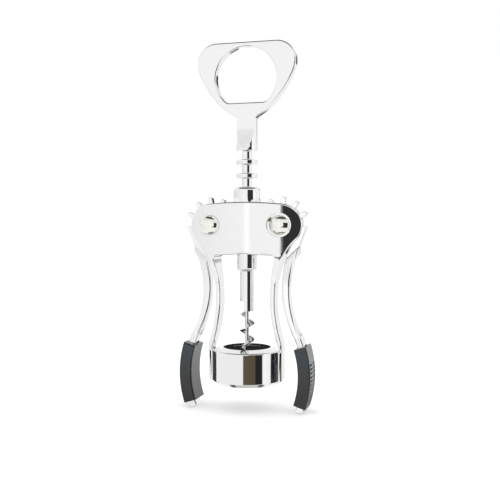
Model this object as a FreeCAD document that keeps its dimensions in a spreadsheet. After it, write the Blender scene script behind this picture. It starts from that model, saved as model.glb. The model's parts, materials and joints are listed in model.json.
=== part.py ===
import FreeCAD, Part
import math
import os
from types import SimpleNamespace

import Sketcher
from FreeCAD import Placement, Rotation, Vector

# Wing corkscrew. Millimetres, +Z up towards the opener handle, front towards -Y. The origin is on
# the spindle's axis, in the plane of the bell's mouth. Levers are down and the spindle is up.

# ---------------------------------------------------------------- driving dimensions

DIMENSIONS = {
    # gear pair: finger teeth on each lever, rings on the spindle
    "pivot_offset": 18.5,
    "pivot_height": 82.0,
    "tooth_step_angle": 30.0,
    "first_tooth_angle": 26.5,
    "tooth_count": 7,
    "pitch_radius": 13.5,
    "tip_radius": 14.7,
    "root_radius": 10.6,
    "tooth_tip_half": 1.05,
    "tooth_root_half": 1.65,
    "tooth_tip_round": 1.15,
    "gear_thickness": 3.8,
    "gear_side_gap": 0.15,
    "gear_tip_gap": 0.5,
    # spindle
    "guide_radius": 5.35,
    "guide_clearance": 0.08,
    "core_radius": 2.6,
    "top_ring_above_pivot": 32.5,
    "ring_count": 6,
    "ring_half": 1.2,
    "ring_chamfer": 0.4,
    "guide_below_pivot": 23.8,
    "guide_round": 0.8,
    "shaft_radius": 1.7,
    "shaft_clearance": 0.08,
    "shaft_in_hub": 12.0,
    "shaft_in_ferrule": 9.0,
    "thrust_gap": 0.15,
    # head of the frame
    "head_end_radius": 11.0,
    "head_crown": 0.9,
    "head_half_depth": 9.5,
    "head_face_radius": 72.0,
    "head_drop": 15.6,
    "head_arch": 0.9,
    "head_corner": 2.0,
    "head_round": 0.8,
    "window_inset": 2.52,
    "collar_radius": 6.8,
    "collar_rise": 8.6,
    "collar_rim": 1.3,
    "collar_flare": 1.8,
    # rivets
    "seat_radius": 6.2,
    "seat_half": 5.0,
    "dome_radius": 5.6,
    "dome_rim": 0.5,
    "dome_rise": 2.2,
    "tube_radius": 2.9,
    "rivet_radius": 1.9,
    "rivet_clearance": 0.02,
    "pivot_clearance": 0.05,
    "tube_end_gap": 0.4,
    "rivet_end_gap": 0.9,
    # legs
    "leg_depth": 8.6,
    "leg_ease": 15.0,
    "leg_outer_rise": 3.6,
    "leg_inner_rise": 3.8,
    "leg_waist_share": 0.431,
    "rib_stand": 1.2,
    # bell
    "bell_radius": 18.2,
    "bell_height": 17.5,
    "bell_lip": 0.2,
    "bell_rim_round": 0.8,
    "bell_roof_rise": 1.0,
    "bell_roof": 1.4,
    "bell_wall": 2.0,
    "bell_hole_radius": 12.3,
    "liner_clearance": 0.02,
    "neck_radius": 15.1,
    "neck_depth": 12.0,
    "neck_stop": 2.2,
    # lever, measured from its pivot
    "heel_out": 13.5,
    "heel_rise": -0.8,
    "shoulder_out": 9.9,
    "shoulder_drop": 10.5,
    "armpit_out": 3.0,
    "armpit_drop": 17.0,
    "arm_outer_bow": 46.0,
    "arm_inner_bow": 82.0,
    "arm_depth": 8.4,
    "arm_waist": 5.8,
    "tang_depth": 8.0,
    "tang_half": 1.9,
    "tang_round": 1.6,
    "tang_root_angle": 5.5,
    "tang_play_angle": 0.5,
    "tang_reach_angle": 22.0,
    "grip_bow": 49.2,
    "grip_bow_out": -36.0,
    "grip_drop": 77.15,
    "grip_half": 3.1,
    "grip_spread_angle": 17.5,
    "grip_depth": 14.5,
    "grip_round": 2.0,
    "groove_step_angle": 2.25,
    "groove_count": 10,
    "groove_radius": 0.6,
    "groove_border": 1.3,
    "groove_first_angle": -13.5,
    # opener handle
    "hub_length": 17.3,
    "hub_chamfer": 0.4,
    "hub_runout": 19.0,
    "hub_foot": 1.2,
    "plate_thickness": 5.0,
    "plate_half_width": 26.3,
    "plate_height": 38.6,
    "plate_corner": 10.3,
    "plate_sweep_angle": 12.0,
    "plate_bow": 37.6,
    "plate_round": 1.0,
    "eye_radius": 16.2,
    "eye_above_hub": 20.1,
    "eye_chord_drop": 12.6,
    # ferrule and worm
    "ferrule_radius": 3.85,
    "ferrule_length": 20.8,
    "step_height": 5.2,
    "step_offset": 0.9,
    "worm_core": 1.05,
    "worm_radius": 4.0,
    "worm_pitch": 8.5,
    "worm_in_ferrule": 9.0,
    "worm_length": 25.05,
    "worm_start": 1.45,
    "worm_root_half": 1.15,
    "worm_edge_half": 0.12,
    "worm_taper": 6.0,
    "worm_fit": 0.02,
}

HAIR = 0.01

doc = FreeCAD.newDocument("wing_corkscrew")


def fill_sheet():
    """Write every driving dimension into its own aliased cell."""
    sheet = doc.addObject("Spreadsheet::Sheet", "dims")
    for row, (alias, value) in enumerate(DIMENSIONS.items(), start=1):
        sheet.set("A%d" % row, alias)
        sheet.set("B%d" % row, str(value))
        sheet.setAlias("B%d" % row, alias)
    doc.recompute()


# ---------------------------------------------------------------- sizes that carry their formula

LEFT, RIGHT = 1, -1


class Size:
    """A number together with the spreadsheet formula that drives it."""

    def __init__(self, text, value):
        self.text = text
        self.value = value

    def join(self, sign, other, value):
        return Size("(%s %s %s)" % (self.text, sign, other.text), value)

    def __add__(self, other):
        other = sized(other)
        return self.join("+", other, self.value + other.value)

    def __sub__(self, other):
        other = sized(other)
        return self.join("-", other, self.value - other.value)

    def __mul__(self, other):
        other = sized(other)
        return self.join("*", other, self.value * other.value)

    def __truediv__(self, other):
        other = sized(other)
        return self.join("/", other, self.value / other.value)

    def __radd__(self, other):
        return sized(other) + self

    def __rsub__(self, other):
        return sized(other) - self

    def __rmul__(self, other):
        return sized(other) * self

    def __neg__(self):
        return sized(0) - self


def sized(item):
    return item if isinstance(item, Size) else Size(repr(float(item)), float(item))


def root(size):
    return Size("sqrt(%s)" % size.text, math.sqrt(size.value))


def cosine(size):
    return Size("cos(%s)" % size.text, math.cos(math.radians(size.value)))


def sine(size):
    return Size("sin(%s)" % size.text, math.sin(math.radians(size.value)))


def bow_radius(half_chord, rise):
    """Radius of an arc that rises by rise over a chord of twice half_chord."""
    return (half_chord * half_chord + rise * rise) / (2 * rise)


def bow_rise(radius, half_chord):
    """How far an arc of that radius stands off its chord."""
    return radius - root(radius * radius - half_chord * half_chord)


d = SimpleNamespace(**{alias: Size("dims." + alias, float(value)) for alias, value in DIMENSIONS.items()})

top_ring = d.pivot_height + d.top_ring_above_pivot
guide_bottom = d.pivot_height - d.guide_below_pivot
head_top = d.pivot_height + d.head_end_radius
head_bottom = d.pivot_height - d.head_drop
collar_top = head_top + d.collar_rise
ring_pitch = d.pitch_radius * d.tooth_step_angle * (math.pi / 180)
hub_bottom = top_ring + ring_pitch - d.ring_half
guide_top = top_ring - d.ring_count * ring_pitch + d.ring_half
guide_bore = d.guide_radius + d.guide_clearance
shaft_bore = d.shaft_radius + d.shaft_clearance
slot_width = d.gear_thickness + 2 * d.gear_side_gap
bell_chamfer = d.bell_wall - d.bell_lip
pivot_bore = d.tube_radius + d.pivot_clearance


# ---------------------------------------------------------------- document helpers

def bind(item, name, size):
    item.setExpression(name, sized(size).text)


def new_body(label, x=0, z=0, turned=False):
    """A body at (x, 0, z), turned half round the vertical where it sits on the left side."""
    body = doc.addObject("PartDesign::Body", label)
    body.Label = label
    body.Placement = Placement(Vector(), Rotation(Vector(0, 0, 1), 180 if turned else 0))
    bind(body, "Placement.Base.x", x)
    bind(body, "Placement.Base.z", z)
    return body


def plane_of(body, role):
    return next(item for item in body.Origin.OriginFeatures if item.Role == role)


def new_sketch(body, name, role="XZ_Plane"):
    sketch = body.newObject("Sketcher::SketchObject", name)
    sketch.AttachmentSupport = (plane_of(body, role), [""])
    sketch.MapMode = "FlatFace"
    return sketch


def pin_point(sketch, index, end, x, y):
    """Tie one end of a sketch edge to driven coordinates."""
    for kind, size in (("DistanceX", sized(x)), ("DistanceY", sized(y))):
        number = sketch.addConstraint(Sketcher.Constraint(kind, -1, 1, index, end, size.value))
        bind(sketch, "Constraints[%d]" % number, size)


class Outline:
    """A closed loop of lines and arcs in a sketch, drawn corner by corner."""

    def __init__(self, sketch, x, y):
        self.sketch = sketch
        self.edges = []
        self.start = self.corner = (sized(x), sized(y))

    def add(self, geometry, first, last, corner):
        index = self.sketch.addGeometry(geometry, False)
        self.edges.append((index, first, last, self.corner))
        self.corner = corner
        return index

    def line(self, x, y):
        corner = (sized(x), sized(y))
        here, there = (Vector(point[0].value, point[1].value, 0) for point in (self.corner, corner))
        self.add(Part.LineSegment(here, there), 1, 2, corner)
        return self

    def arc(self, x, y, radius, turn):
        """An arc of under half a circle: LEFT runs counter-clockwise and RIGHT clockwise."""
        corner = (sized(x), sized(y))
        radius = sized(radius)
        here, there = (Vector(point[0].value, point[1].value, 0) for point in (self.corner, corner))
        half = (there - here) * 0.5
        away = math.sqrt(radius.value ** 2 - half.Length ** 2) * turn / half.Length
        centre = here + half + Vector(-half.y, half.x, 0) * away
        angles = [math.atan2(point.y - centre.y, point.x - centre.x) for point in (here, there)]
        first, last = (1, 2) if turn == LEFT else (2, 1)
        circle = Part.Circle(centre, Vector(0, 0, 1), radius.value)
        index = self.add(Part.ArcOfCircle(circle, *angles[::turn]), first, last, corner)
        number = self.sketch.addConstraint(Sketcher.Constraint("Radius", index, radius.value))
        bind(self.sketch, "Constraints[%d]" % number, radius)
        return self

    def close(self):
        self.line(*self.start)
        self.tie()

    def tie(self):
        """Join each edge to the next and drive every corner."""
        for number, (index, first, last, corner) in enumerate(self.edges):
            following = self.edges[(number + 1) % len(self.edges)]
            self.sketch.addConstraint(
                Sketcher.Constraint("Coincident", index, last, following[0], following[1]))
            pin_point(self.sketch, index, first, *corner)


def draw_symmetric(sketch, start, steps):
    """Draw steps from the top centre to the bottom centre, then back up on the mirrored side.

    Each step is (x, y) for a line or (x, y, radius, turn) for an arc."""
    outline = Outline(sketch, 0, start)
    points = [(sized(0), sized(start))] + [(sized(step[0]), sized(step[1])) for step in steps]
    for step in steps:
        outline.arc(*step) if len(step) > 2 else outline.line(*step)
    for step, (x, y) in zip(reversed(steps), reversed(points[:-1])):
        outline.arc(-x, y, *step[2:]) if len(step) > 2 else outline.line(-x, y)
    outline.tie()


def draw_circle(sketch, x, y, radius):
    index = sketch.addGeometry(Part.Circle(Vector(x.value, y.value, 0), Vector(0, 0, 1), radius.value))
    pin_point(sketch, index, 3, x, y)
    number = sketch.addConstraint(Sketcher.Constraint("Radius", index, radius.value))
    bind(sketch, "Constraints[%d]" % number, radius)


def pad(body, sketch, name, thickness):
    """A slab centred on its sketch."""
    feature = body.newObject("PartDesign::Pad", name)
    feature.Profile = sketch
    feature.SideType = "Symmetric"
    bind(feature, "Length", thickness)
    return feature


def cut_through(body, sketch, name, thickness=None):
    """A pocket centred on its sketch, through everything unless a thickness is given."""
    feature = body.newObject("PartDesign::Pocket", name)
    feature.Profile = sketch
    feature.SideType = "Symmetric"
    if thickness is None:
        feature.Type = "ThroughAll"
    else:
        bind(feature, "Length", thickness)
    return feature


def revolve(body, sketch, name, kind="PartDesign::Revolution"):
    feature = body.newObject(kind, name)
    feature.Profile = sketch
    feature.ReferenceAxis = (sketch, ["V_Axis"])
    feature.Angle = 360
    return feature


def mirror(body, feature, name, role):
    copy = body.newObject("PartDesign::Mirrored", name)
    copy.Originals = [feature]
    copy.MirrorPlane = (plane_of(body, role), [""])
    body.Tip = copy
    return copy


def bore_from_front(body, name, x, z, radius, y_from, length):
    """A round hole along Y that starts at depth y_from in front of the body's middle."""
    hole = body.newObject("PartDesign::SubtractiveCylinder", name)
    hole.AttachmentSupport = (plane_of(body, "XZ_Plane"), [""])
    hole.MapMode = "FlatFace"
    bind(hole, "Radius", radius)
    bind(hole, "Height", length)
    for axis, size in zip("xyz", (x, z, y_from)):
        bind(hole, "AttachmentOffset.Base." + axis, size)
    return hole


def round_edges(body, name, radius, wanted):
    """Fillet the tip's edges for which wanted(edge) is true."""
    doc.recompute()
    base = body.Tip
    names = ["Edge%d" % (number + 1) for number, edge in enumerate(base.Shape.Edges) if wanted(edge)]
    fillet = body.newObject("PartDesign::Fillet", name)
    fillet.Base = (base, names)
    bind(fillet, "Radius", radius)
    return fillet


# ---------------------------------------------------------------- frame casting

def casting_pad(body):
    """Head, legs and the ribs down the bell in one front outline, at the depth of the head."""
    slant = d.head_end_radius * math.sqrt(0.5)
    end = (d.pivot_offset + slant, d.pivot_height - slant)
    foot = d.bell_radius + d.rib_stand
    rib_top = d.bell_height + 2 * bell_chamfer
    inside = d.bell_radius - d.bell_wall / 2
    inner = d.pivot_offset - d.window_inset
    window_top = head_bottom - d.head_corner
    window_half = inner - d.head_corner

    # the leg's outer arc stands upright at its waist, and the shoulder's arc runs into it smoothly
    half_leg = (end[1] - rib_top) * d.leg_waist_share
    outer_bow = bow_radius(half_leg, d.leg_outer_rise)
    centre = (foot - d.leg_outer_rise + outer_bow, rib_top + half_leg)
    away = (end[0] - centre[0], end[1] - centre[1])
    along = (away[0] - away[1]) * math.sqrt(0.5)
    shoulder_bow = (outer_bow * outer_bow - away[0] * away[0] - away[1] * away[1]) / (2 * (along + outer_bow))
    reach = outer_bow / (outer_bow - shoulder_bow)
    shoulder = (centre[0] + (away[0] + shoulder_bow * math.sqrt(0.5)) * reach,
                centre[1] + (away[1] - shoulder_bow * math.sqrt(0.5)) * reach)
    run, lean = window_top - d.bell_height, d.bell_radius - inner
    inner_bow = bow_radius(root(run * run + lean * lean) / 2, d.leg_inner_rise)

    sketch = new_sketch(body, "casting_outline")
    draw_symmetric(sketch, head_top + d.head_crown, [
        (d.pivot_offset, head_top, bow_radius(d.pivot_offset, d.head_crown), RIGHT),
        (*end, d.head_end_radius, RIGHT),
        (*shoulder, shoulder_bow, LEFT),
        (foot, rib_top, outer_bow, LEFT),
        (foot, bell_chamfer),
        (foot - bell_chamfer, 0),
        (inside, 0),
        (inside, d.bell_height - d.bell_wall),
        (d.bell_radius, d.bell_height),
        (inner, window_top, inner_bow, RIGHT),
        (window_half, head_bottom, d.head_corner, LEFT),
        (0, head_bottom + d.head_arch, bow_radius(window_half, d.head_arch), LEFT),
    ])
    pad(body, sketch, "casting", 2 * d.head_half_depth)


def bow_faces(body):
    """Bow the front and back faces: the part outside two wide arcs is cut away."""
    sketch = new_sketch(body, "head_faces", "XY_Plane")
    reach = d.pivot_offset + 2 * d.head_end_radius
    edge = d.head_half_depth - bow_rise(d.head_face_radius, reach)
    far = 2 * d.head_half_depth
    for side, turn in ((1, RIGHT), (-1, LEFT)):
        outline = Outline(sketch, -reach, side * edge)
        outline.arc(reach, side * edge, d.head_face_radius, turn)
        outline.line(reach, side * far).line(-reach, side * far).close()
    cut_through(body, sketch, "bowed_faces")


def ease_legs(body):
    """Ease the faces below the head down to the slimmer legs, in a long S."""
    sketch = new_sketch(body, "leg_faces", "YZ_Plane")
    far = 2 * d.head_half_depth
    root_half = d.head_half_depth - bow_rise(d.head_face_radius, d.pivot_offset - d.window_inset - d.head_corner)
    leg_half = d.leg_depth / 2
    middle = ((root_half + leg_half) / 2, head_bottom - d.leg_ease / 2)
    step = (root_half - leg_half) / 2
    ease_bow = (d.leg_ease * d.leg_ease / 4 + step * step) / (2 * step)
    for side, turn in ((1, RIGHT), (-1, LEFT)):
        outline = Outline(sketch, side * far, -bell_chamfer)
        outline.line(side * leg_half, -bell_chamfer).line(side * leg_half, head_bottom - d.leg_ease)
        outline.arc(side * middle[0], middle[1], ease_bow, turn)
        outline.arc(side * root_half, head_bottom, ease_bow, -turn)
        outline.line(side * far, head_bottom).close()
    cut_through(body, sketch, "eased_legs")


def head_rounds(body):
    """Round the head's front and back rims, round its ends and over its crown."""
    doc.recompute()
    rims = []
    for face in body.Tip.Shape.Faces:
        low_u, high_u, low_v, high_v = face.ParameterRange
        if abs(face.normalAt((low_u + high_u) / 2, (low_v + high_v) / 2).y) < HAIR:
            rims += [edge for edge in face.Edges if edge.BoundBox.YMin * edge.BoundBox.YMax > 0]
    low = d.pivot_height.value - d.head_end_radius.value

    def on_head_rim(edge):
        return edge.BoundBox.ZMin > low and any(edge.isSame(rim) for rim in rims)
    round_edges(body, "rim_rounds", d.head_round, on_head_rim)


def bell_and_collar(body):
    sketch = new_sketch(body, "bell_profile")
    rim = d.bell_rim_round
    roof = d.bell_height + d.bell_roof_rise
    hollow = d.bell_radius - d.bell_wall
    outline = Outline(sketch, hollow, 0)
    outline.line(d.bell_radius - bell_chamfer, 0).line(d.bell_radius, bell_chamfer)
    outline.line(d.bell_radius, d.bell_height - rim)
    outline.arc(d.bell_radius - rim, d.bell_height, rim, LEFT)
    outline.line(d.bell_hole_radius, roof).line(d.bell_hole_radius, roof - d.bell_roof)
    outline.line(hollow, roof - d.bell_roof).close()
    revolve(body, sketch, "bell")

    sketch = new_sketch(body, "collar_profile")
    foot = head_top - d.head_crown
    outline = Outline(sketch, 0, foot)
    outline.line(d.collar_radius + d.collar_flare, foot)
    outline.line(d.collar_radius + d.collar_flare, foot + d.head_crown)
    outline.arc(d.collar_radius, foot + d.head_crown + d.collar_flare, d.collar_flare, RIGHT)
    outline.line(d.collar_radius, collar_top - d.collar_rim)
    outline.arc(d.collar_radius - d.collar_rim, collar_top, d.collar_rim, LEFT)
    outline.line(0, collar_top).close()
    revolve(body, sketch, "collar")


def frame_bores(body):
    """Guide bore, gear slots, rivet holes and rivet seats."""
    sketch = new_sketch(body, "guide_bore_profile")
    outline = Outline(sketch, 0, head_bottom - d.head_corner)
    outline.line(guide_bore, head_bottom - d.head_corner)
    outline.line(guide_bore, collar_top + d.collar_rim)
    outline.line(0, collar_top + d.collar_rim).close()
    revolve(body, sketch, "guide_bore", "PartDesign::Groove")

    sketch = new_sketch(body, "gear_slot_outline")
    for side in (1, -1):
        draw_circle(sketch, side * d.pivot_offset, d.pivot_height, d.tip_radius + d.gear_tip_gap)
    cut_through(body, sketch, "gear_slots", slot_width)

    seat_depth = 2 * (d.head_half_depth - d.seat_half)
    for side, name in ((1, "right"), (-1, "left")):
        x = side * d.pivot_offset
        bore_from_front(body, "rivet_hole_" + name, x, d.pivot_height, pivot_bore,
                        -d.head_half_depth, 2 * d.head_half_depth)
        bore_from_front(body, "front_seat_" + name, x, d.pivot_height, d.seat_radius,
                        d.seat_half, seat_depth)
        bore_from_front(body, "rear_seat_" + name, x, d.pivot_height, d.seat_radius,
                        -d.seat_half - seat_depth, seat_depth)


def make_frame():
    body = new_body("frame")
    casting_pad(body)
    bow_faces(body)
    head_rounds(body)
    ease_legs(body)
    bell_and_collar(body)
    frame_bores(body)
    return body


def make_bell_liner():
    """Plastic sleeve in the bell that centres the bottle's neck and stops its rim."""
    body = new_body("bell_liner")
    sketch = new_sketch(body, "liner_profile")
    outer = d.bell_radius - d.bell_wall - d.liner_clearance
    top = d.bell_height + d.bell_roof_rise - d.bell_roof - d.liner_clearance
    stop = d.neck_radius - d.neck_stop
    outline = Outline(sketch, d.neck_radius, 0)
    outline.line(outer, 0).line(outer, top).line(stop, top)
    outline.line(stop, d.neck_depth).line(d.neck_radius, d.neck_depth).close()
    revolve(body, sketch, "liner")
    return body


# ---------------------------------------------------------------- rivets

def make_pivot_rivet(label, side):
    """Domed front half of a two-part rivet, with the solid shank."""
    body = new_body(label, side * d.pivot_offset, d.pivot_height, side < 0)
    sketch = new_sketch(body, "rivet_profile", "XY_Plane")
    rim = d.seat_half + d.dome_rim
    shank_end = d.seat_half - d.rivet_end_gap
    turn = side
    outline = Outline(sketch, 0, -turn * (rim + d.dome_rise))
    outline.arc(d.dome_radius, -turn * rim, bow_radius(d.dome_radius, d.dome_rise), LEFT * turn)
    outline.line(d.dome_radius, -turn * d.seat_half).line(d.rivet_radius, -turn * d.seat_half)
    outline.line(d.rivet_radius, turn * shank_end).line(0, turn * shank_end).close()
    revolve(body, sketch, "rivet")
    return body


def make_rivet_cap(label, side):
    """Domed rear half of the rivet, with the tube that the lever turns on."""
    body = new_body(label, side * d.pivot_offset, d.pivot_height, side < 0)
    sketch = new_sketch(body, "cap_profile", "XY_Plane")
    rim = d.seat_half + d.dome_rim
    tube_end = d.seat_half - d.tube_end_gap
    bore = d.rivet_radius + d.rivet_clearance
    turn = side
    outline = Outline(sketch, bore, -turn * tube_end)
    outline.line(d.tube_radius, -turn * tube_end).line(d.tube_radius, turn * d.seat_half)
    outline.line(d.dome_radius, turn * d.seat_half).line(d.dome_radius, turn * rim)
    outline.arc(0, turn * (rim + d.dome_rise), bow_radius(d.dome_radius, d.dome_rise), LEFT * turn)
    outline.line(0, turn * d.seat_half).line(bore, turn * d.seat_half).close()
    revolve(body, sketch, "cap")
    return body


# ---------------------------------------------------------------- levers and grips

def bowed_strip(sketch, inner, outer, top_angle, bottom_angle):
    """A strip between two arcs about the grip's centre of bow, with radial ends."""
    def corner(radius, angle):
        return d.grip_bow_out + radius * cosine(angle), -d.grip_drop + radius * sine(angle)

    outline = Outline(sketch, *corner(outer, top_angle))
    outline.arc(*corner(outer, bottom_angle), outer, RIGHT)
    outline.line(*corner(inner, bottom_angle))
    outline.arc(*corner(inner, top_angle), inner, LEFT)
    outline.close()


def lever_gear(body):
    """Hub disc, heel and the fan of finger teeth."""
    sketch = new_sketch(body, "gear_disc")
    draw_circle(sketch, sized(0), sized(0), d.root_radius)
    pad(body, sketch, "hub_disc", d.gear_thickness)

    sketch = new_sketch(body, "heel_outline")
    outline = Outline(sketch, 0, 0)
    outline.line(d.heel_out, d.heel_rise).line(d.shoulder_out, -d.shoulder_drop)
    outline.line(d.armpit_out, -d.armpit_drop).line(d.armpit_out, -d.root_radius + d.armpit_out)
    outline.close()
    pad(body, sketch, "heel", d.gear_thickness)

    sketch = new_sketch(body, "tooth_outline")
    sketch.AttachmentOffset = Placement(Vector(), Rotation(Vector(0, 0, 1), d.first_tooth_angle.value))
    bind(sketch, "AttachmentOffset.Rotation.Angle", d.first_tooth_angle)
    foot = d.root_radius - d.tooth_root_half
    shoulder = d.tip_radius - bow_rise(d.tooth_tip_round, d.tooth_tip_half)
    outline = Outline(sketch, foot, d.tooth_root_half)
    outline.line(foot, -d.tooth_root_half).line(shoulder, -d.tooth_tip_half)
    outline.arc(shoulder, d.tooth_tip_half, d.tooth_tip_round, LEFT)
    outline.close()
    tooth = pad(body, sketch, "tooth", d.gear_thickness)
    fan = body.newObject("PartDesign::PolarPattern", "tooth_fan")
    fan.Originals = [tooth]
    fan.Axis = (sketch, ["N_Axis"])
    bind(fan, "Angle", d.tooth_step_angle * (d.tooth_count - 1))
    bind(fan, "Occurrences", d.tooth_count)
    body.Tip = fan


def lever_arm(body):
    """Bowed arm, its side hollows and the tang that runs through the grip."""
    inner, outer = d.grip_bow - d.tang_half, d.grip_bow + d.tang_half
    root_angle = d.grip_spread_angle + d.tang_root_angle
    end_x = [d.grip_bow_out + radius * cosine(root_angle) for radius in (inner, outer)]
    end_z = [radius * sine(root_angle) - d.grip_drop for radius in (inner, outer)]
    sketch = new_sketch(body, "arm_outline")
    outline = Outline(sketch, d.shoulder_out, -d.shoulder_drop)
    outline.arc(end_x[1], end_z[1], d.arm_outer_bow, LEFT)
    outline.line(end_x[0], end_z[0])
    outline.arc(d.armpit_out, -d.armpit_drop, d.arm_inner_bow, RIGHT)
    outline.close()
    pad(body, sketch, "arm", d.arm_depth)

    sketch = new_sketch(body, "arm_sides", "YZ_Plane")
    upper, lower = -d.shoulder_drop + d.armpit_out, end_z[1]
    half = (upper - lower) / 2
    bow = bow_radius(half, (d.arm_depth - d.arm_waist) / 2)
    for side, turn in ((1, RIGHT), (-1, LEFT)):
        flank = side * d.arm_depth / 2
        outline = Outline(sketch, flank, upper)
        outline.line(2 * flank, upper).line(2 * flank, lower).line(flank, lower)
        outline.arc(flank, upper, bow, turn)
        outline.tie()
    cut_through(body, sketch, "arm_hollows")

    sketch = new_sketch(body, "tang_outline")
    bowed_strip(sketch, inner, outer, root_angle, -d.tang_reach_angle)
    pad(body, sketch, "tang", d.tang_depth)


def make_lever(label, side):
    body = new_body(label, side * d.pivot_offset, d.pivot_height, side < 0)
    lever_gear(body)
    lever_arm(body)
    bore_from_front(body, "pivot_bore", sized(0), sized(0), pivot_bore,
                    -d.gear_thickness, 2 * d.gear_thickness)
    tip = -d.grip_drop - (d.grip_bow - d.tang_half - d.tang_round) * sine(d.tang_reach_angle)
    round_edges(body, "tip_round", d.tang_round, lambda edge: edge.BoundBox.ZMax < tip.value)
    return body


def make_grip(label, side):
    """Moulded grip, ribbed across its outer face."""
    body = new_body(label, side * d.pivot_offset, d.pivot_height, side < 0)
    sketch = new_sketch(body, "grip_outline")
    inner, outer = d.grip_bow - d.grip_half, d.grip_bow + d.grip_half
    bowed_strip(sketch, inner, outer, d.grip_spread_angle, -d.grip_spread_angle)
    pad(body, sketch, "grip", d.grip_depth)
    round_edges(body, "grip_rounds", d.grip_round, lambda edge: edge.Length > d.grip_depth.value + HAIR)

    sketch = new_sketch(body, "groove_outline")
    turn = d.groove_first_angle
    sketch.AttachmentOffset = Placement(Vector(d.grip_bow_out.value, -d.grip_drop.value, 0),
                                        Rotation(Vector(0, 0, 1), turn.value))
    bind(sketch, "AttachmentOffset.Base.x", d.grip_bow_out)
    bind(sketch, "AttachmentOffset.Base.y", -d.grip_drop)
    bind(sketch, "AttachmentOffset.Rotation.Angle", turn)
    draw_circle(sketch, outer, sized(0), d.groove_radius)
    groove = cut_through(body, sketch, "groove", d.grip_depth - 2 * d.groove_border)
    rows = body.newObject("PartDesign::PolarPattern", "grooves")
    rows.Originals = [groove]
    rows.Axis = (sketch, ["N_Axis"])
    bind(rows, "Angle", d.groove_step_angle * (d.groove_count - 1))
    bind(rows, "Occurrences", d.groove_count)
    body.Tip = rows

    sketch = new_sketch(body, "tang_slot")
    bowed_strip(sketch, d.grip_bow - d.tang_half, d.grip_bow + d.tang_half,
                d.grip_spread_angle + d.tang_root_angle - d.tang_play_angle, -d.tang_reach_angle)
    cut_through(body, sketch, "tang_hole", d.tang_depth)
    return body


# ---------------------------------------------------------------- spindle

def make_rack_sleeve():
    """Tube with rings that the levers' teeth drive, and the guide barrel below them."""
    body = new_body("rack_sleeve")
    sketch = new_sketch(body, "sleeve_profile")
    top = hub_bottom - d.thrust_gap
    outline = Outline(sketch, shaft_bore, top)
    outline.line(d.core_radius, top).line(d.core_radius, guide_top)
    outline.line(d.guide_radius - d.ring_chamfer, guide_top)
    outline.line(d.guide_radius, guide_top - d.ring_chamfer)
    outline.line(d.guide_radius, guide_bottom + d.guide_round)
    outline.arc(d.guide_radius - d.guide_round, guide_bottom, d.guide_round, RIGHT)
    outline.line(shaft_bore, guide_bottom).close()
    revolve(body, sketch, "sleeve")

    sketch = new_sketch(body, "ring_profile")
    foot = (shaft_bore + d.core_radius) / 2
    upper, lower = top_ring + d.ring_half, top_ring - d.ring_half
    outline = Outline(sketch, foot, upper)
    outline.line(d.guide_radius - d.ring_chamfer, upper).line(d.guide_radius, upper - d.ring_chamfer)
    outline.line(d.guide_radius, lower + d.ring_chamfer).line(d.guide_radius - d.ring_chamfer, lower)
    outline.line(foot, lower).close()
    ring = revolve(body, sketch, "ring")
    rack = body.newObject("PartDesign::LinearPattern", "rack_rings")
    rack.Originals = [ring]
    rack.Direction = (sketch, ["V_Axis"])
    rack.Reversed = True
    bind(rack, "Length", ring_pitch * (d.ring_count - 1))
    bind(rack, "Occurrences", d.ring_count)
    body.Tip = rack
    return body


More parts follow.
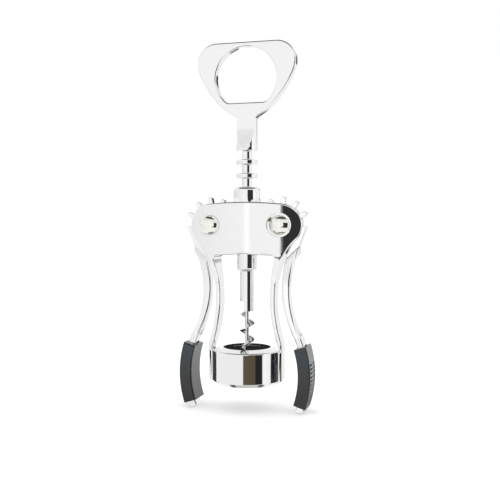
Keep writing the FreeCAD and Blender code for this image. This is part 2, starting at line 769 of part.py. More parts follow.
def make_opener_handle():
    """Flat bottle-opener loop on a round hub."""
    body = new_body("opener_handle", z=hub_bottom)
    top = d.hub_length + d.plate_height
    sketch = new_sketch(body, "plate_outline")
    widest = top - d.plate_corner
    turn_x = d.plate_half_width - d.plate_corner + d.plate_corner * cosine(d.plate_sweep_angle)
    turn_z = widest - d.plate_corner * sine(d.plate_sweep_angle)
    tongue = d.hub_length - d.plate_thickness / 2
    draw_symmetric(sketch, top, [
        (d.plate_half_width - d.plate_corner, top),
        (turn_x, turn_z, d.plate_corner, RIGHT),
        (d.guide_radius, d.hub_length, d.plate_bow, RIGHT),
        (d.guide_radius, tongue),
        (0, tongue),
    ])
    pad(body, sketch, "plate", d.plate_thickness)

    sketch = new_sketch(body, "eye_outline")
    centre = d.hub_length + d.eye_above_hub
    chord = root(d.eye_radius * d.eye_radius - d.eye_chord_drop * d.eye_chord_drop)
    draw_symmetric(sketch, centre + d.eye_radius, [
        (chord, centre - d.eye_chord_drop, d.eye_radius, RIGHT),
        (0, centre - d.eye_chord_drop),
    ])
    cut_through(body, sketch, "opener_eye")

    def on_plate_face(edge):
        above_neck = edge.BoundBox.ZMax > d.hub_length.value + d.plate_round.value
        return above_neck and edge.BoundBox.YLength < HAIR
    round_edges(body, "plate_rounds", d.plate_round, on_plate_face)

    sketch = new_sketch(body, "hub_profile")
    outline = Outline(sketch, 0, 0)
    outline.line(d.guide_radius - d.hub_chamfer, 0).line(d.guide_radius, d.hub_chamfer)
    outline.line(d.guide_radius, d.hub_length).line(0, d.hub_length).close()
    revolve(body, sketch, "hub")

    sketch = new_sketch(body, "neck_trim_profile")
    shoulder = d.hub_length - d.hub_chamfer
    outline = Outline(sketch, d.guide_radius, d.hub_foot)
    outline.line(2 * d.guide_radius, d.hub_foot).line(2 * d.guide_radius, shoulder)
    outline.line(d.guide_radius, shoulder).close()
    revolve(body, sketch, "neck_trim", "PartDesign::Groove")

    sketch = new_sketch(body, "hub_flats", "YZ_Plane")
    flat = d.plate_thickness / 2
    above = d.hub_length + d.plate_round
    depth = d.guide_radius - flat
    runout = root(d.hub_runout * d.hub_runout - (d.hub_runout - depth) * (d.hub_runout - depth))
    for side, turn in ((1, LEFT), (-1, RIGHT)):
        outline = Outline(sketch, side * flat, above)
        outline.line(side * flat, d.hub_foot + runout)
        outline.arc(side * d.guide_radius, d.hub_foot, d.hub_runout, turn)
        outline.line(side * 2 * d.guide_radius, d.hub_foot)
        outline.line(side * 2 * d.guide_radius, above).close()
    cut_through(body, sketch, "flats")

    sketch = new_sketch(body, "shaft_socket_profile")
    outline = Outline(sketch, 0, -d.hub_chamfer)
    outline.line(d.shaft_radius, -d.hub_chamfer).line(d.shaft_radius, d.shaft_in_hub)
    outline.line(0, d.shaft_in_hub).close()
    revolve(body, sketch, "shaft_socket", "PartDesign::Groove")
    return body


ferrule_top = guide_bottom - d.thrust_gap
ferrule_bottom = ferrule_top - d.ferrule_length


def make_screw_shaft():
    """Steel rod from the handle's hub through the sleeve into the ferrule."""
    rod = doc.addObject("Part::Cylinder", "screw_shaft")
    rod.Label = "screw_shaft"
    low = ferrule_top - d.shaft_in_ferrule
    bind(rod, "Radius", d.shaft_radius)
    bind(rod, "Height", hub_bottom + d.shaft_in_hub - low)
    bind(rod, "Placement.Base.z", low)
    return rod


def make_worm_ferrule():
    """Round holder of the worm, cut away on one side of its lower end."""
    body = new_body("worm_ferrule", z=ferrule_bottom)
    socket = d.ferrule_length - d.shaft_in_ferrule
    worm_bore = d.worm_core + d.worm_fit
    sketch = new_sketch(body, "ferrule_profile")
    outline = Outline(sketch, worm_bore, 0)
    outline.line(d.ferrule_radius - d.hub_chamfer, 0).line(d.ferrule_radius, d.hub_chamfer)
    outline.line(d.ferrule_radius, d.ferrule_length).line(d.shaft_radius, d.ferrule_length)
    outline.line(d.shaft_radius, socket).line(0, socket).line(0, d.worm_in_ferrule)
    outline.line(worm_bore, d.worm_in_ferrule).close()
    revolve(body, sketch, "ferrule")

    sketch = new_sketch(body, "step_outline")
    outline = Outline(sketch, -d.step_offset, -d.hub_chamfer)
    outline.line(-d.step_offset, d.step_height).line(-2 * d.ferrule_radius, d.step_height)
    outline.line(-2 * d.ferrule_radius, -d.hub_chamfer).close()
    cut_through(body, sketch, "step")
    return body


def make_worm():
    """Right-handed auger: a straight core with one sharp flight, both running out to a point."""
    body = new_body("worm", z=ferrule_bottom - d.worm_length)
    shank_top = d.worm_length + d.worm_in_ferrule
    sketch = new_sketch(body, "core_profile")
    outline = Outline(sketch, 0, 0)
    outline.line(d.worm_core, d.worm_taper).line(d.worm_core, shank_top).line(0, shank_top).close()
    revolve(body, sketch, "core")

    sketch = new_sketch(body, "flight_profile")
    foot = d.worm_core / 2
    outline = Outline(sketch, foot, d.worm_start - d.worm_root_half)
    outline.line(d.worm_radius, d.worm_start - d.worm_edge_half)
    outline.line(d.worm_radius, d.worm_start + d.worm_edge_half)
    outline.line(foot, d.worm_start + d.worm_root_half).close()
    flight = body.newObject("PartDesign::AdditiveHelix", "flight")
    flight.Profile = sketch
    flight.ReferenceAxis = (sketch, ["V_Axis"])
    flight.Mode = "pitch-height-angle"
    bind(flight, "Pitch", d.worm_pitch)
    bind(flight, "Height", d.worm_length - d.worm_start - d.worm_root_half)

    sketch = new_sketch(body, "point_profile")
    outline = Outline(sketch, 0, 0)
    outline.line(d.worm_radius, d.worm_taper).line(2 * d.worm_radius, d.worm_taper)
    outline.line(2 * d.worm_radius, -d.worm_pitch).line(0, -d.worm_pitch).close()
    revolve(body, sketch, "point", "PartDesign::Groove")
    return body


# ---------------------------------------------------------------- build, check, write

def check_document():
    """Stop if any feature failed, or if a cut removed nothing."""
    for item in doc.Objects:
        if "Invalid" in item.State or "Error" in item.State:
            raise RuntimeError("%s failed: %s" % (item.Label, item.getStatusString()))
        if item.TypeId in ("PartDesign::Pocket", "PartDesign::Groove", "PartDesign::SubtractiveCylinder"):
            if item.Shape.Volume >= item.BaseFeature.Shape.Volume:
                raise RuntimeError("%s cuts nothing" % item.Label)


def write_part(item):
    shape = item.Shape
    if shape.isNull() or not shape.isValid() or not shape.Solids:
        raise RuntimeError("%s has no valid solid" % item.Label)
    shape.exportStep("parts/%s.step" % item.Label)
    box = shape.BoundBox
    print("%-20s solids %d volume %8.1f  x %6.1f %6.1f  y %6.1f %6.1f  z %6.1f %6.1f" % (
        item.Label, len(shape.Solids), shape.Volume,
        box.XMin, box.XMax, box.YMin, box.YMax, box.ZMin, box.ZMax))


def main():
    fill_sheet()
    parts = [make_frame(), make_bell_liner()]
    for side, name in ((1, "right"), (-1, "left")):
        parts += [
            make_pivot_rivet("pivot_rivet_" + name, side),
            make_rivet_cap("rivet_cap_" + name, side),
            make_lever("lever_" + name, side),
            make_grip("grip_" + name, side),
        ]
    parts += [make_rack_sleeve(), make_opener_handle(), make_screw_shaft(), make_worm_ferrule(), make_worm()]
    doc.recompute()
    check_document()
    os.makedirs("parts", exist_ok=True)
    for item in parts:
        write_part(item)


main()
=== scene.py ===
import json
import math

import bpy
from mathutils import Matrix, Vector


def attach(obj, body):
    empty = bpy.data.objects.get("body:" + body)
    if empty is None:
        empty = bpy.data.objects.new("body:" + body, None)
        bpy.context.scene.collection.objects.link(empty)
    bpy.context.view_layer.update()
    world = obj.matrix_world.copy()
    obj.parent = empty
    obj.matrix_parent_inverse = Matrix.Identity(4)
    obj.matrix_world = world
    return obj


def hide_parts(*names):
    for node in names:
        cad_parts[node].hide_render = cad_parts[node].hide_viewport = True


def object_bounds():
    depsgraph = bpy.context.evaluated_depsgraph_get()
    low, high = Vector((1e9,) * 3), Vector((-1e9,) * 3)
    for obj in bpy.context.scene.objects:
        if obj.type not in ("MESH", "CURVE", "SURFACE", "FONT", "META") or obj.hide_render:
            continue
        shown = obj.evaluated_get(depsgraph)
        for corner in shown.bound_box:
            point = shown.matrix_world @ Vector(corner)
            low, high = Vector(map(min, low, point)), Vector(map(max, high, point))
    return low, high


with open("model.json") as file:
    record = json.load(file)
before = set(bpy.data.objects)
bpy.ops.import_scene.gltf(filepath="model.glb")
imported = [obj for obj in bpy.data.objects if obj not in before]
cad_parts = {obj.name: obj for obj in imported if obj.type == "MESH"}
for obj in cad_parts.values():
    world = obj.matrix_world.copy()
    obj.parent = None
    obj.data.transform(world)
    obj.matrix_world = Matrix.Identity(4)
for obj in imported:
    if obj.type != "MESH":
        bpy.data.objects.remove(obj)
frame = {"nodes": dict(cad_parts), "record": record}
cad_low, cad_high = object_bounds()

MM = 0.001


# ---------------------------------------------------------------- node helpers for finishes

def new_finish(name):
    """An empty node material with its Principled shader."""
    finish = bpy.data.materials.new(name)
    finish.use_nodes = True
    return finish, finish.node_tree, finish.node_tree.nodes["Principled BSDF"]


def add_node(tree, kind, **settings):
    node = tree.nodes.new(kind)
    for key, value in settings.items():
        setattr(node, key, value)
    return node


def object_coordinates(tree, stretch=(1, 1, 1)):
    """Object coordinates in millimetres, stretched along each axis."""
    place = add_node(tree, "ShaderNodeTexCoord")
    mapping = add_node(tree, "ShaderNodeMapping")
    mapping.inputs["Scale"].default_value = [factor / MM for factor in stretch]
    tree.links.new(place.outputs["Object"], mapping.inputs["Vector"])
    return mapping.outputs["Vector"]


def noise(tree, coordinates, scale, detail=2.0):
    texture = add_node(tree, "ShaderNodeTexNoise")
    texture.inputs["Scale"].default_value = scale
    texture.inputs["Detail"].default_value = detail
    tree.links.new(coordinates, texture.inputs["Vector"])
    return texture.outputs["Fac"]


def ranged(tree, value, low, high):
    """A 0 to 1 value spread over low to high."""
    spread = add_node(tree, "ShaderNodeMapRange")
    spread.inputs["To Min"].default_value = low
    spread.inputs["To Max"].default_value = high
    tree.links.new(value, spread.inputs["Value"])
    return spread.outputs["Result"]


def two_tones(tree, value, first, second):
    mix = add_node(tree, "ShaderNodeMix", data_type="RGBA")
    mix.inputs["A"].default_value = (*first, 1)
    mix.inputs["B"].default_value = (*second, 1)
    tree.links.new(value, mix.inputs["Factor"])
    return mix.outputs["Result"]


def bump(tree, height, distance, strength):
    node = add_node(tree, "ShaderNodeBump")
    node.inputs["Distance"].default_value = distance * MM
    node.inputs["Strength"].default_value = strength
    tree.links.new(height, node.inputs["Height"])
    return node.outputs["Normal"]


# ---------------------------------------------------------------- finishes

def polished_plate(name, tone, worn_tone, roughness, swell):
    """Bright plating over a polished casting: slow swells left by the buffing wheel."""
    finish, tree, shader = new_finish(name)
    place = object_coordinates(tree)
    cloud = noise(tree, place, 0.22, 3.0)
    tree.links.new(two_tones(tree, cloud, tone, worn_tone), shader.inputs["Base Color"])
    tree.links.new(ranged(tree, noise(tree, place, 0.6), *roughness), shader.inputs["Roughness"])
    waves = bump(tree, noise(tree, place, 0.16, 0.0), swell, 0.5)
    tree.links.new(waves, shader.inputs["Normal"])
    shader.inputs["Metallic"].default_value = 1
    return finish


def turned_metal(name, tone, worn_tone, roughness, groove_depth):
    """Metal turned on a lathe: fine rings across the axis under the polish."""
    finish, tree, shader = new_finish(name)
    place = object_coordinates(tree, (0.1, 0.1, 1))
    rings = noise(tree, place, 4.0, 3.0)
    tree.links.new(two_tones(tree, rings, tone, worn_tone), shader.inputs["Base Color"])
    tree.links.new(ranged(tree, rings, *roughness), shader.inputs["Roughness"])
    tree.links.new(bump(tree, rings, groove_depth, 0.4), shader.inputs["Normal"])
    shader.inputs["Metallic"].default_value = 1
    return finish


# Heights in millimetres over which painted shade at the bottom gives way to painted sheen at the top.
PAINTED_SHEEN_HEIGHTS = (-8, 18)


def moulded_plastic(name, tone, painted_sheen_tone, painted_shade_tone, roughness, grain, sheen):
    """Moulded plastic with a fine grain and a soft sheen. Its base colour holds a painted sheen, lighter and
    bluer at the top, that fades to painted shade towards the bottom.
    """
    finish, tree, shader = new_finish(name)
    place = object_coordinates(tree)
    cloud = noise(tree, place, 0.3, 4.0)
    split = add_node(tree, "ShaderNodeSeparateXYZ")
    tree.links.new(place, split.inputs["Vector"])
    height = add_node(tree, "ShaderNodeMapRange")
    height.inputs["From Min"].default_value, height.inputs["From Max"].default_value = PAINTED_SHEEN_HEIGHTS
    tree.links.new(split.outputs["Z"], height.inputs["Value"])
    # Painted sheen and shade: the painted sheen tone, mottled at random with the plain tone, fades down the
    # height to the painted shade tone.
    fade = add_node(tree, "ShaderNodeMix", data_type="RGBA")
    fade.inputs["A"].default_value = (*painted_shade_tone, 1)
    tree.links.new(two_tones(tree, cloud, tone, painted_sheen_tone), fade.inputs["B"])
    tree.links.new(height.outputs["Result"], fade.inputs["Factor"])
    tree.links.new(fade.outputs["Result"], shader.inputs["Base Color"])
    tree.links.new(ranged(tree, cloud, *roughness), shader.inputs["Roughness"])
    tree.links.new(bump(tree, noise(tree, place, 5.0), grain, 0.6), shader.inputs["Normal"])
    shader.inputs["Specular IOR Level"].default_value = 0.5
    shader.inputs["Coat Weight"].default_value = sheen
    shader.inputs["Coat Roughness"].default_value = 0.08
    return finish


FINISHES = {
    "chrome_casting": polished_plate(
        "polished_chrome_casting", (0.95, 0.955, 0.95), (0.915, 0.925, 0.92), (0.03, 0.07), 0.02),
    "chrome_spindle": turned_metal(
        "turned_chrome", (0.95, 0.95, 0.945), (0.90, 0.90, 0.895), (0.04, 0.10), 0.006),
    "rivet_nickel": polished_plate(
        "nickel_rivet", (0.965, 0.96, 0.93), (0.93, 0.915, 0.86), (0.03, 0.07), 0.015),
    "steel_screw": turned_metal(
        "bright_steel", (0.88, 0.88, 0.87), (0.78, 0.78, 0.77), (0.06, 0.14), 0.01),
    # Grip tones: plain, painted sheen at the top, painted shade at the bottom.
    "grip_plastic": moulded_plastic(
        "charcoal_grip", (0.012, 0.018, 0.023), (0.026, 0.036, 0.043), (0.003, 0.002, 0.003),
        (0.20, 0.30), 0.02, 0.35),
    # Liner tones: plain, painted sheen at the top, fading back to its plain tone at the bottom.
    "liner_plastic": moulded_plastic(
        "black_liner", (0.020, 0.020, 0.020), (0.035, 0.035, 0.035), (0.020, 0.020, 0.020),
        (0.45, 0.6), 0.03, 0.0),
}


def finish_nodes():
    """Give every node the finish of its own slot."""
    for part in frame["record"]["subparts"]:
        node = frame["nodes"][part["node"]]
        node.data.materials.clear()
        node.data.materials.append(FINISHES[part["material_slot"]])


finish_nodes()


# ---------------------------------------------------------------- bench tools

def clear_bench():
    """Object mode with nothing selected."""
    if bpy.context.mode != "OBJECT":
        bpy.ops.object.mode_set(mode="OBJECT")
    bpy.ops.object.select_all(action="DESELECT")


def take(piece):
    """Make a piece the only one selected."""
    clear_bench()
    piece.select_set(True)
    bpy.context.view_layer.objects.active = piece


def open_piece(piece, mode="VERT"):
    """Take a piece into edit mode with everything in it selected."""
    take(piece)
    bpy.ops.object.mode_set(mode="EDIT")
    bpy.ops.mesh.select_mode(type=mode)
    bpy.ops.mesh.select_all(action="SELECT")


def close_piece():
    bpy.ops.object.mode_set(mode="OBJECT")


def arc(centre, radius, start, stop, count):
    """Corners along a circular arc, from one angle to the other in degrees."""
    turns = (math.radians(start + (stop - start) * step / count) for step in range(count + 1))
    return [(centre[0] + radius * math.cos(turn), centre[1] + radius * math.sin(turn)) for turn in turns]


def bowed_line(start, stop, bow, count):
    """Corners along a shallow arc that stands off its chord by bow, to the right of the way it runs."""
    start, stop = Vector(start), Vector(stop)
    along = stop - start
    aside = Vector((along.y, -along.x)).normalized()
    corners = []
    for step in range(count + 1):
        share = step / count
        corners.append(tuple(start + along * share + aside * bow * 4 * share * (1 - share)))
    return corners


def sweep(start, start_pull, stop_pull, stop, count):
    """Corners along a smooth curve that leaves start and reaches stop towards its two pulls."""
    points = [Vector(point) for point in (start, start_pull, stop_pull, stop)]
    corners = []
    for step in range(count + 1):
        share = step / count
        rest = 1 - share
        weights = (rest ** 3, 3 * rest * rest * share, 3 * rest * share * share, share ** 3)
        corners.append(tuple(sum((point * weight for point, weight in zip(points, weights)), Vector((0, 0)))))
    return corners


def corner_ring(name, corners, place, fill="NOTHING"):
    """A ring of corners, each put where place(corner) says in millimetres."""
    clear_bench()
    bpy.ops.mesh.primitive_circle_add(vertices=len(corners), radius=MM, fill_type=fill)
    piece = bpy.context.object
    piece.name = piece.data.name = name
    for vertex, corner in zip(piece.data.vertices, corners):
        vertex.co = Vector(place(corner)) * MM
    return piece


def slab(name, corners, half_depth):
    """A plate with that front outline in x and z, from -half_depth to half_depth in y."""
    piece = corner_ring(name, corners, lambda corner: (corner[0], -half_depth, corner[1]), "NGON")
    open_piece(piece)
    bpy.ops.mesh.extrude_region_move(TRANSFORM_OT_translate={"value": (0, 2 * half_depth * MM, 0)})
    bpy.ops.mesh.select_all(action="SELECT")
    bpy.ops.mesh.normals_make_consistent(inside=False)
    close_piece()
    return piece


def turned(name, profile, along="Z", steps=96):
    """A lathe piece from a closed profile of (radius, place along the axis)."""
    if along == "Z":
        piece = corner_ring(name, profile, lambda corner: (corner[0], 0, corner[1]))
        axis = (0, 0, 1)
    else:
        piece = corner_ring(name, profile, lambda corner: (corner[0], corner[1], 0))
        axis = (0, 1, 0)
    open_piece(piece)
    bpy.ops.mesh.spin(steps=steps, angle=2 * math.pi, center=(0, 0, 0), axis=axis)
    bpy.ops.mesh.select_all(action="SELECT")
    bpy.ops.mesh.remove_doubles(threshold=0.001 * MM)
    bpy.ops.mesh.delete_loose()
    bpy.ops.mesh.select_all(action="SELECT")
    bpy.ops.mesh.normals_make_consistent(inside=False)
    close_piece()
    return piece


def round_edges(piece, radius, wanted, segments=4):
    """Round the edges whose two ends, in millimetres, are wanted."""
    open_piece(piece, "EDGE")
    bpy.ops.mesh.select_all(action="DESELECT")
    close_piece()
    corners = [vertex.co / MM for vertex in piece.data.vertices]
    for edge in piece.data.edges:
        edge.select = wanted(*[corners[index] for index in edge.vertices])
    bpy.ops.object.mode_set(mode="EDIT")
    bpy.ops.mesh.bevel(
        offset=radius * MM, segments=segments, profile=0.5, affect="EDGES", clamp_overlap=False)
    close_piece()


def ease_edges(piece, radius):
    """Ease every edge that turns by more than 40 degrees."""
    take(piece)
    easing = piece.modifiers.new("eased_edges", "BEVEL")
    easing.width = radius * MM
    easing.segments = 3
    easing.angle_limit = math.radians(40)
    bpy.ops.object.modifier_apply(modifier=easing.name)


def score(piece, places, across):
    """Cut the faces along planes across an axis, so that the piece can be bowed."""
    open_piece(piece)
    for place in places:
        bpy.ops.mesh.select_all(action="SELECT")
        bpy.ops.mesh.bisect(plane_co=[place * MM * axis for axis in across], plane_no=across)
    close_piece()


def reshape(piece, move):
    """Move every corner of a piece; move works in millimetres."""
    for vertex in piece.data.vertices:
        vertex.co = Vector(move(*(vertex.co / MM))) * MM


def fit(piece, tool, operation):
    """Join a tool to a piece, or cut it out, and use the tool up."""
    take(piece)
    joint = piece.modifiers.new("fit", "BOOLEAN")
    joint.operation = operation
    joint.solver = "EXACT"
    joint.object = tool
    bpy.ops.object.modifier_apply(modifier=joint.name)
    bpy.data.objects.remove(tool)


def shift(piece, x=0, y=0, z=0):
    """Move a piece's mesh, in millimetres, so that its object stays at the origin."""
    reshape(piece, lambda px, py, pz: (px + x, py + y, pz + z))
    return piece


def copied(piece, name):
    copy = piece.copy()
    copy.data = piece.data.copy()
    copy.name = copy.data.name = name
    bpy.context.collection.objects.link(copy)
    return copy


def level(a, b):
    """Whether an edge's two ends lie at one depth, as along a slab's rims."""
    return abs(a.y - b.y) < 0.01


def swung(out, aside, turn):
    """Where a place along and beside a ray lies once the ray has swung by that angle, in x and z."""
    return out * math.cos(turn) - aside * math.sin(turn), out * math.sin(turn) + aside * math.cos(turn)


def turned_round(piece, name):
    """A copy of a piece turned half round the spindle's axis."""
    copy = copied(piece, name)
    reshape(copy, lambda x, y, z: (-x, -y, z))
    return copy


def finish_piece(piece, slot, body, *nodes):
    """Smooth a piece, give it its finish, and let it stand for its nodes on their body."""
    take(piece)
    bpy.ops.object.shade_smooth_by_angle(angle=math.radians(35))
    even = piece.modifiers.new("even_shading", "WEIGHTED_NORMAL")
    even.keep_sharp = True
    bpy.ops.object.modifier_apply(modifier=even.name)
    piece.data.materials.clear()
    piece.data.materials.append(FINISHES[slot])
    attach(piece, body)
    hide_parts(*nodes)


# ---------------------------------------------------------------- shared sizes, in millimetres

PIVOT_X, PIVOT_Z = 18.5, 82.0
HEAD_END = 11.0
HEAD_TOP = PIVOT_Z + HEAD_END
HEAD_CROWN = 0.9
HEAD_HALF_DEPTH = 9.5
HEAD_BOW = 70.0
LEG_HALF_DEPTH = 4.3
SEAT = 5.95
GUIDE_BORE = 5.43
RIM = 0.95
HEAD_BOTTOM, LEG_EASE = 66.4, 15
ARCH_HALF, ARCH_ROUND = 15.98, 2.0
SLOT_RADIUS, SLOT_HALF = 15.2, 2.05
RIVET_BORE = 2.95
COLLAR = 6.8
FLARE_TOP, FLARE_HEIGHT, FLARE = 95.6, 2.2, 0.22


# ---------------------------------------------------------------- frame casting

def casting_outline():
    """Head, legs and the ribs down the bell in one front outline."""
    right = bowed_line((0, HEAD_TOP + HEAD_CROWN), (PIVOT_X, HEAD_TOP), -0.2, 8)[:-1]
    right += arc((PIVOT_X, PIVOT_Z), HEAD_END, 90, -45, 30)[:-1]
    right += sweep((26.28, 74.22), (15.7, 63.6), (12.6, 42.0), (19.4, 21.1), 30)
    right += [(19.4, 1.9), (17.9, 0.4), (16.5, 0.4), (16.5, 15.2)]
    corner = (ARCH_HALF - ARCH_ROUND, HEAD_BOTTOM - ARCH_ROUND)
    right += bowed_line((18.3, 17.3), (ARCH_HALF, corner[1]), -3.8, 26)[:-1]
    right += arc(corner, ARCH_ROUND, 0, 90, 6)[:-1]
    right += bowed_line((corner[0], HEAD_BOTTOM), (0, HEAD_BOTTOM + HEAD_CROWN), -0.2, 8)
    left = [(-x, z) for x, z in reversed(right[1:-1])]
    return right + left


def half_depth(x, z):
    """Half the casting's depth: bowed over the head, easing down to the straps of the legs."""
    head = HEAD_HALF_DEPTH - HEAD_BOW + math.sqrt(HEAD_BOW ** 2 - x * x)
    ease = min(max((HEAD_BOTTOM - z) / LEG_EASE, 0), 1)
    ease = ease * ease * (3 - 2 * ease)
    return head + (LEG_HALF_DEPTH - head) * ease


def flare_of_collar(x, y, z):
    """The collar flares a little at its sides, down to the head's crest."""
    return x * (1 + FLARE * min(max((FLARE_TOP - z) / FLARE_HEIGHT, 0), 1) ** 2), y, z


def make_casting():
    """One casting: head, legs, bell and collar, with its bore, slots and rivet seats."""
    casting = slab("frame_casting", casting_outline(), HEAD_HALF_DEPTH)

    def on_rim(a, b):
        in_the_wall = max(a.z, b.z) < 15.7 and max(abs(a.x), abs(b.x)) < 18
        return level(a, b) and abs(a.y) > HEAD_HALF_DEPTH - 0.01 and not in_the_wall
    round_edges(casting, RIM, on_rim)
    score(casting, [place * 1.5 for place in range(-19, 20)], (1, 0, 0))
    rows = [place * 2.0 for place in range(9, 33)] + [64.8, 65.3, 65.7, 66.1, HEAD_BOTTOM, 68]
    score(casting, rows, (0, 0, 1))
    reshape(casting, lambda x, y, z: (x, y * half_depth(x, z) / HEAD_HALF_DEPTH, z))

    bell = turned("bell", [
        (16.2, 0), (16.5, 0), (18.2, 1.8), *arc((17.4, 16.7), 0.8, 0, 85, 5),
        (12.3, 18.5), (12.3, 17.1), (16.2, 17.1)], steps=128)
    ease_edges(bell, 0.25)
    fit(casting, bell, "UNION")
    collar = turned("collar", [
        (2, 88), *[(COLLAR, place) for place in (88, 90.5, 92, 93, 94, 95, 96, 97, 98.3, 99.6)],
        *arc((COLLAR - 1.8, 99.8), 1.8, 0, 90, 8), (2, 101.6)])
    reshape(collar, flare_of_collar)
    fit(casting, collar, "UNION")

    fit(casting, turned("bore", [(0, 60), (GUIDE_BORE, 60), (GUIDE_BORE, 104), (0, 104)]), "DIFFERENCE")
    for side in (1, -1):
        slot = turned("slot", [
            (0, -SLOT_HALF), (SLOT_RADIUS, -SLOT_HALF), (SLOT_RADIUS, SLOT_HALF), (0, SLOT_HALF)], "Y", 128)
        fit(casting, shift(slot, side * PIVOT_X, 0, PIVOT_Z), "DIFFERENCE")
        seat = turned("seat", [
            (0, -12), (SEAT, -12), (SEAT, -5), (RIVET_BORE, -5), (RIVET_BORE, 5), (SEAT, 5), (SEAT, 12),
            (0, 12)], "Y", 72)
        fit(casting, shift(seat, side * PIVOT_X, 0, PIVOT_Z), "DIFFERENCE")

    def on_seat_rim(a, b):
        def on_rim(corner):
            out = math.hypot(abs(corner.x) - PIVOT_X, corner.z - PIVOT_Z)
            return abs(out - SEAT) < 0.02 and abs(corner.y) > 5.3
        return on_rim(a) and on_rim(b) and abs(a.y - b.y) < 0.4
    round_edges(casting, 0.3, on_seat_rim, 3)
    finish_piece(casting, "chrome_casting", "frame", "frame")


# ---------------------------------------------------------------- levers

TOOTH_STEP, FIRST_TOOTH, TOOTH_COUNT = 30, 24.9, 7
ROOT_RADIUS, TIP_RADIUS = 10.6, 14.7
GRIP_BOW_X, GRIP_BOW_Z, GRIP_BOW = -36.0, -77.15, 49.2
TOOTH_HALF_TURN = 8.8
GEAR_HALF, ARM_HALF, TANG_HALF = 1.9, 4.0, 1.9
SHOULDER, ARMPIT = (9.9, -10.5), (3.0, -17)
ARMPIT_TURN = 286.5
TANG_TOP = -58
# The line from armpit to shoulder, where the arm steps up from the gear plate: its middle and its course.
STEP_MIDDLE, STEP_COURSE = (6.45, -13.75), (0.728, 0.686)


def gear_outline():
    """Finger teeth, root circle and heel, about the pivot."""
    side = [(10.9, 1.44), (13.9, 1.06), (14.3, 0.88), (14.58, 0.5)]
    flanks = [(out, -aside) for out, aside in side] + [(TIP_RADIUS, 0)] + side[::-1]
    corners, before = [(13.5, -0.8), (10.58, -0.5)], 1.5
    for number in range(TOOTH_COUNT):
        middle = FIRST_TOOTH + TOOTH_STEP * number
        corners += arc((0, 0), ROOT_RADIUS, before, middle - TOOTH_HALF_TURN, 5)
        corners += [swung(out, aside, math.radians(middle)) for out, aside in flanks]
        before = middle + TOOTH_HALF_TURN
    corners += arc((0, 0), ROOT_RADIUS, before, ARMPIT_TURN, 14)
    return corners + [ARMPIT, (5.5, -20), (10.2, -14.2), SHOULDER]


def arm_outline():
    """Bowed arm and the tang that runs down through the grip, about the pivot."""
    bow = (GRIP_BOW_X, GRIP_BOW_Z)
    outer, inner = GRIP_BOW + TANG_HALF, GRIP_BOW - TANG_HALF
    tip_x, tip_z = swung(GRIP_BOW + 0.5, 0, math.radians(-21.2))
    corners = sweep(SHOULDER, (2.6, -27.0), (3.2, -44.5), (11.04, -57.18), 24)[:-1]
    corners += arc(bow, outer, 23, -20.9, 22)
    corners += arc((GRIP_BOW_X + tip_x, GRIP_BOW_Z + tip_z), 1.4, -15, -111, 6)
    corners += arc(bow, inner, -21.7, 23, 22)
    return corners + sweep((7.54, -58.67), (-0.2, -43.5), (-1.4, -30.5), ARMPIT, 24)[1:]


def arm_half_depth(z):
    """Half the arm's depth: waisted between the shoulder and the grip."""
    share = min(max((-12 - z) / 46, 0), 1)
    return 4.2 - 1.25 * math.sin(math.pi * share)


def make_levers():
    """Gear plate and bowed arm in one casting, with a sloped step where they meet."""
    gear = slab("gear", gear_outline(), GEAR_HALF)
    round_edges(gear, 0.3, level, 3)
    lever = slab("lever_right_casting", arm_outline(), ARM_HALF)
    round_edges(lever, 1.1, level)
    score(lever, [-12 - 2 * step for step in range(24)], (0, 0, 1))
    reshape(lever, lambda x, y, z: (x, y * (arm_half_depth(z) if z > TANG_TOP else ARM_HALF) / ARM_HALF, z))
    for side in (-1, 1):
        slope = slab("slope", [(-3.1, side * 5.2), (1.0, side * 1.1), (1.0, side * 5.2)], 12)
        reshape(slope, lambda out, along, y: (
            STEP_MIDDLE[0] + STEP_COURSE[0] * along - STEP_COURSE[1] * out, y,
            STEP_MIDDLE[1] + STEP_COURSE[1] * along + STEP_COURSE[0] * out))
        fit(lever, slope, "DIFFERENCE")
    fit(lever, gear, "UNION")
    fit(lever, turned("bore", [(0, -8), (RIVET_BORE, -8), (RIVET_BORE, 8), (0, 8)], "Y", 48), "DIFFERENCE")
    shift(lever, PIVOT_X, 0, PIVOT_Z)
    left = turned_round(lever, "lever_left_casting")
    finish_piece(lever, "chrome_casting", "lever_right", "lever_right")
    finish_piece(left, "chrome_casting", "lever_left", "lever_left")


# ---------------------------------------------------------------- grips

GRIP_HALF, GRIP_HALF_DEPTH, GRIP_SPREAD, GRIP_DROP = 3.3, 7.45, 17.5, 18.4
GROOVE_COUNT, GROOVE_STEP, FIRST_GROOVE = 10, 2.25, -13.5
GRIP_BORDER = 1.3
POCKET_END, POCKET_SHARE, RIB_SHARE = -0.5, 1.15, 0.4
GROOVE = [(1.0, 0.62), (0.0, 0.5), (-0.75, 0.42), (-0.92, 0.2), (-0.92, -0.2), (-0.75, -0.42), (0.0, -0.5),
          (1.0, -0.62)]


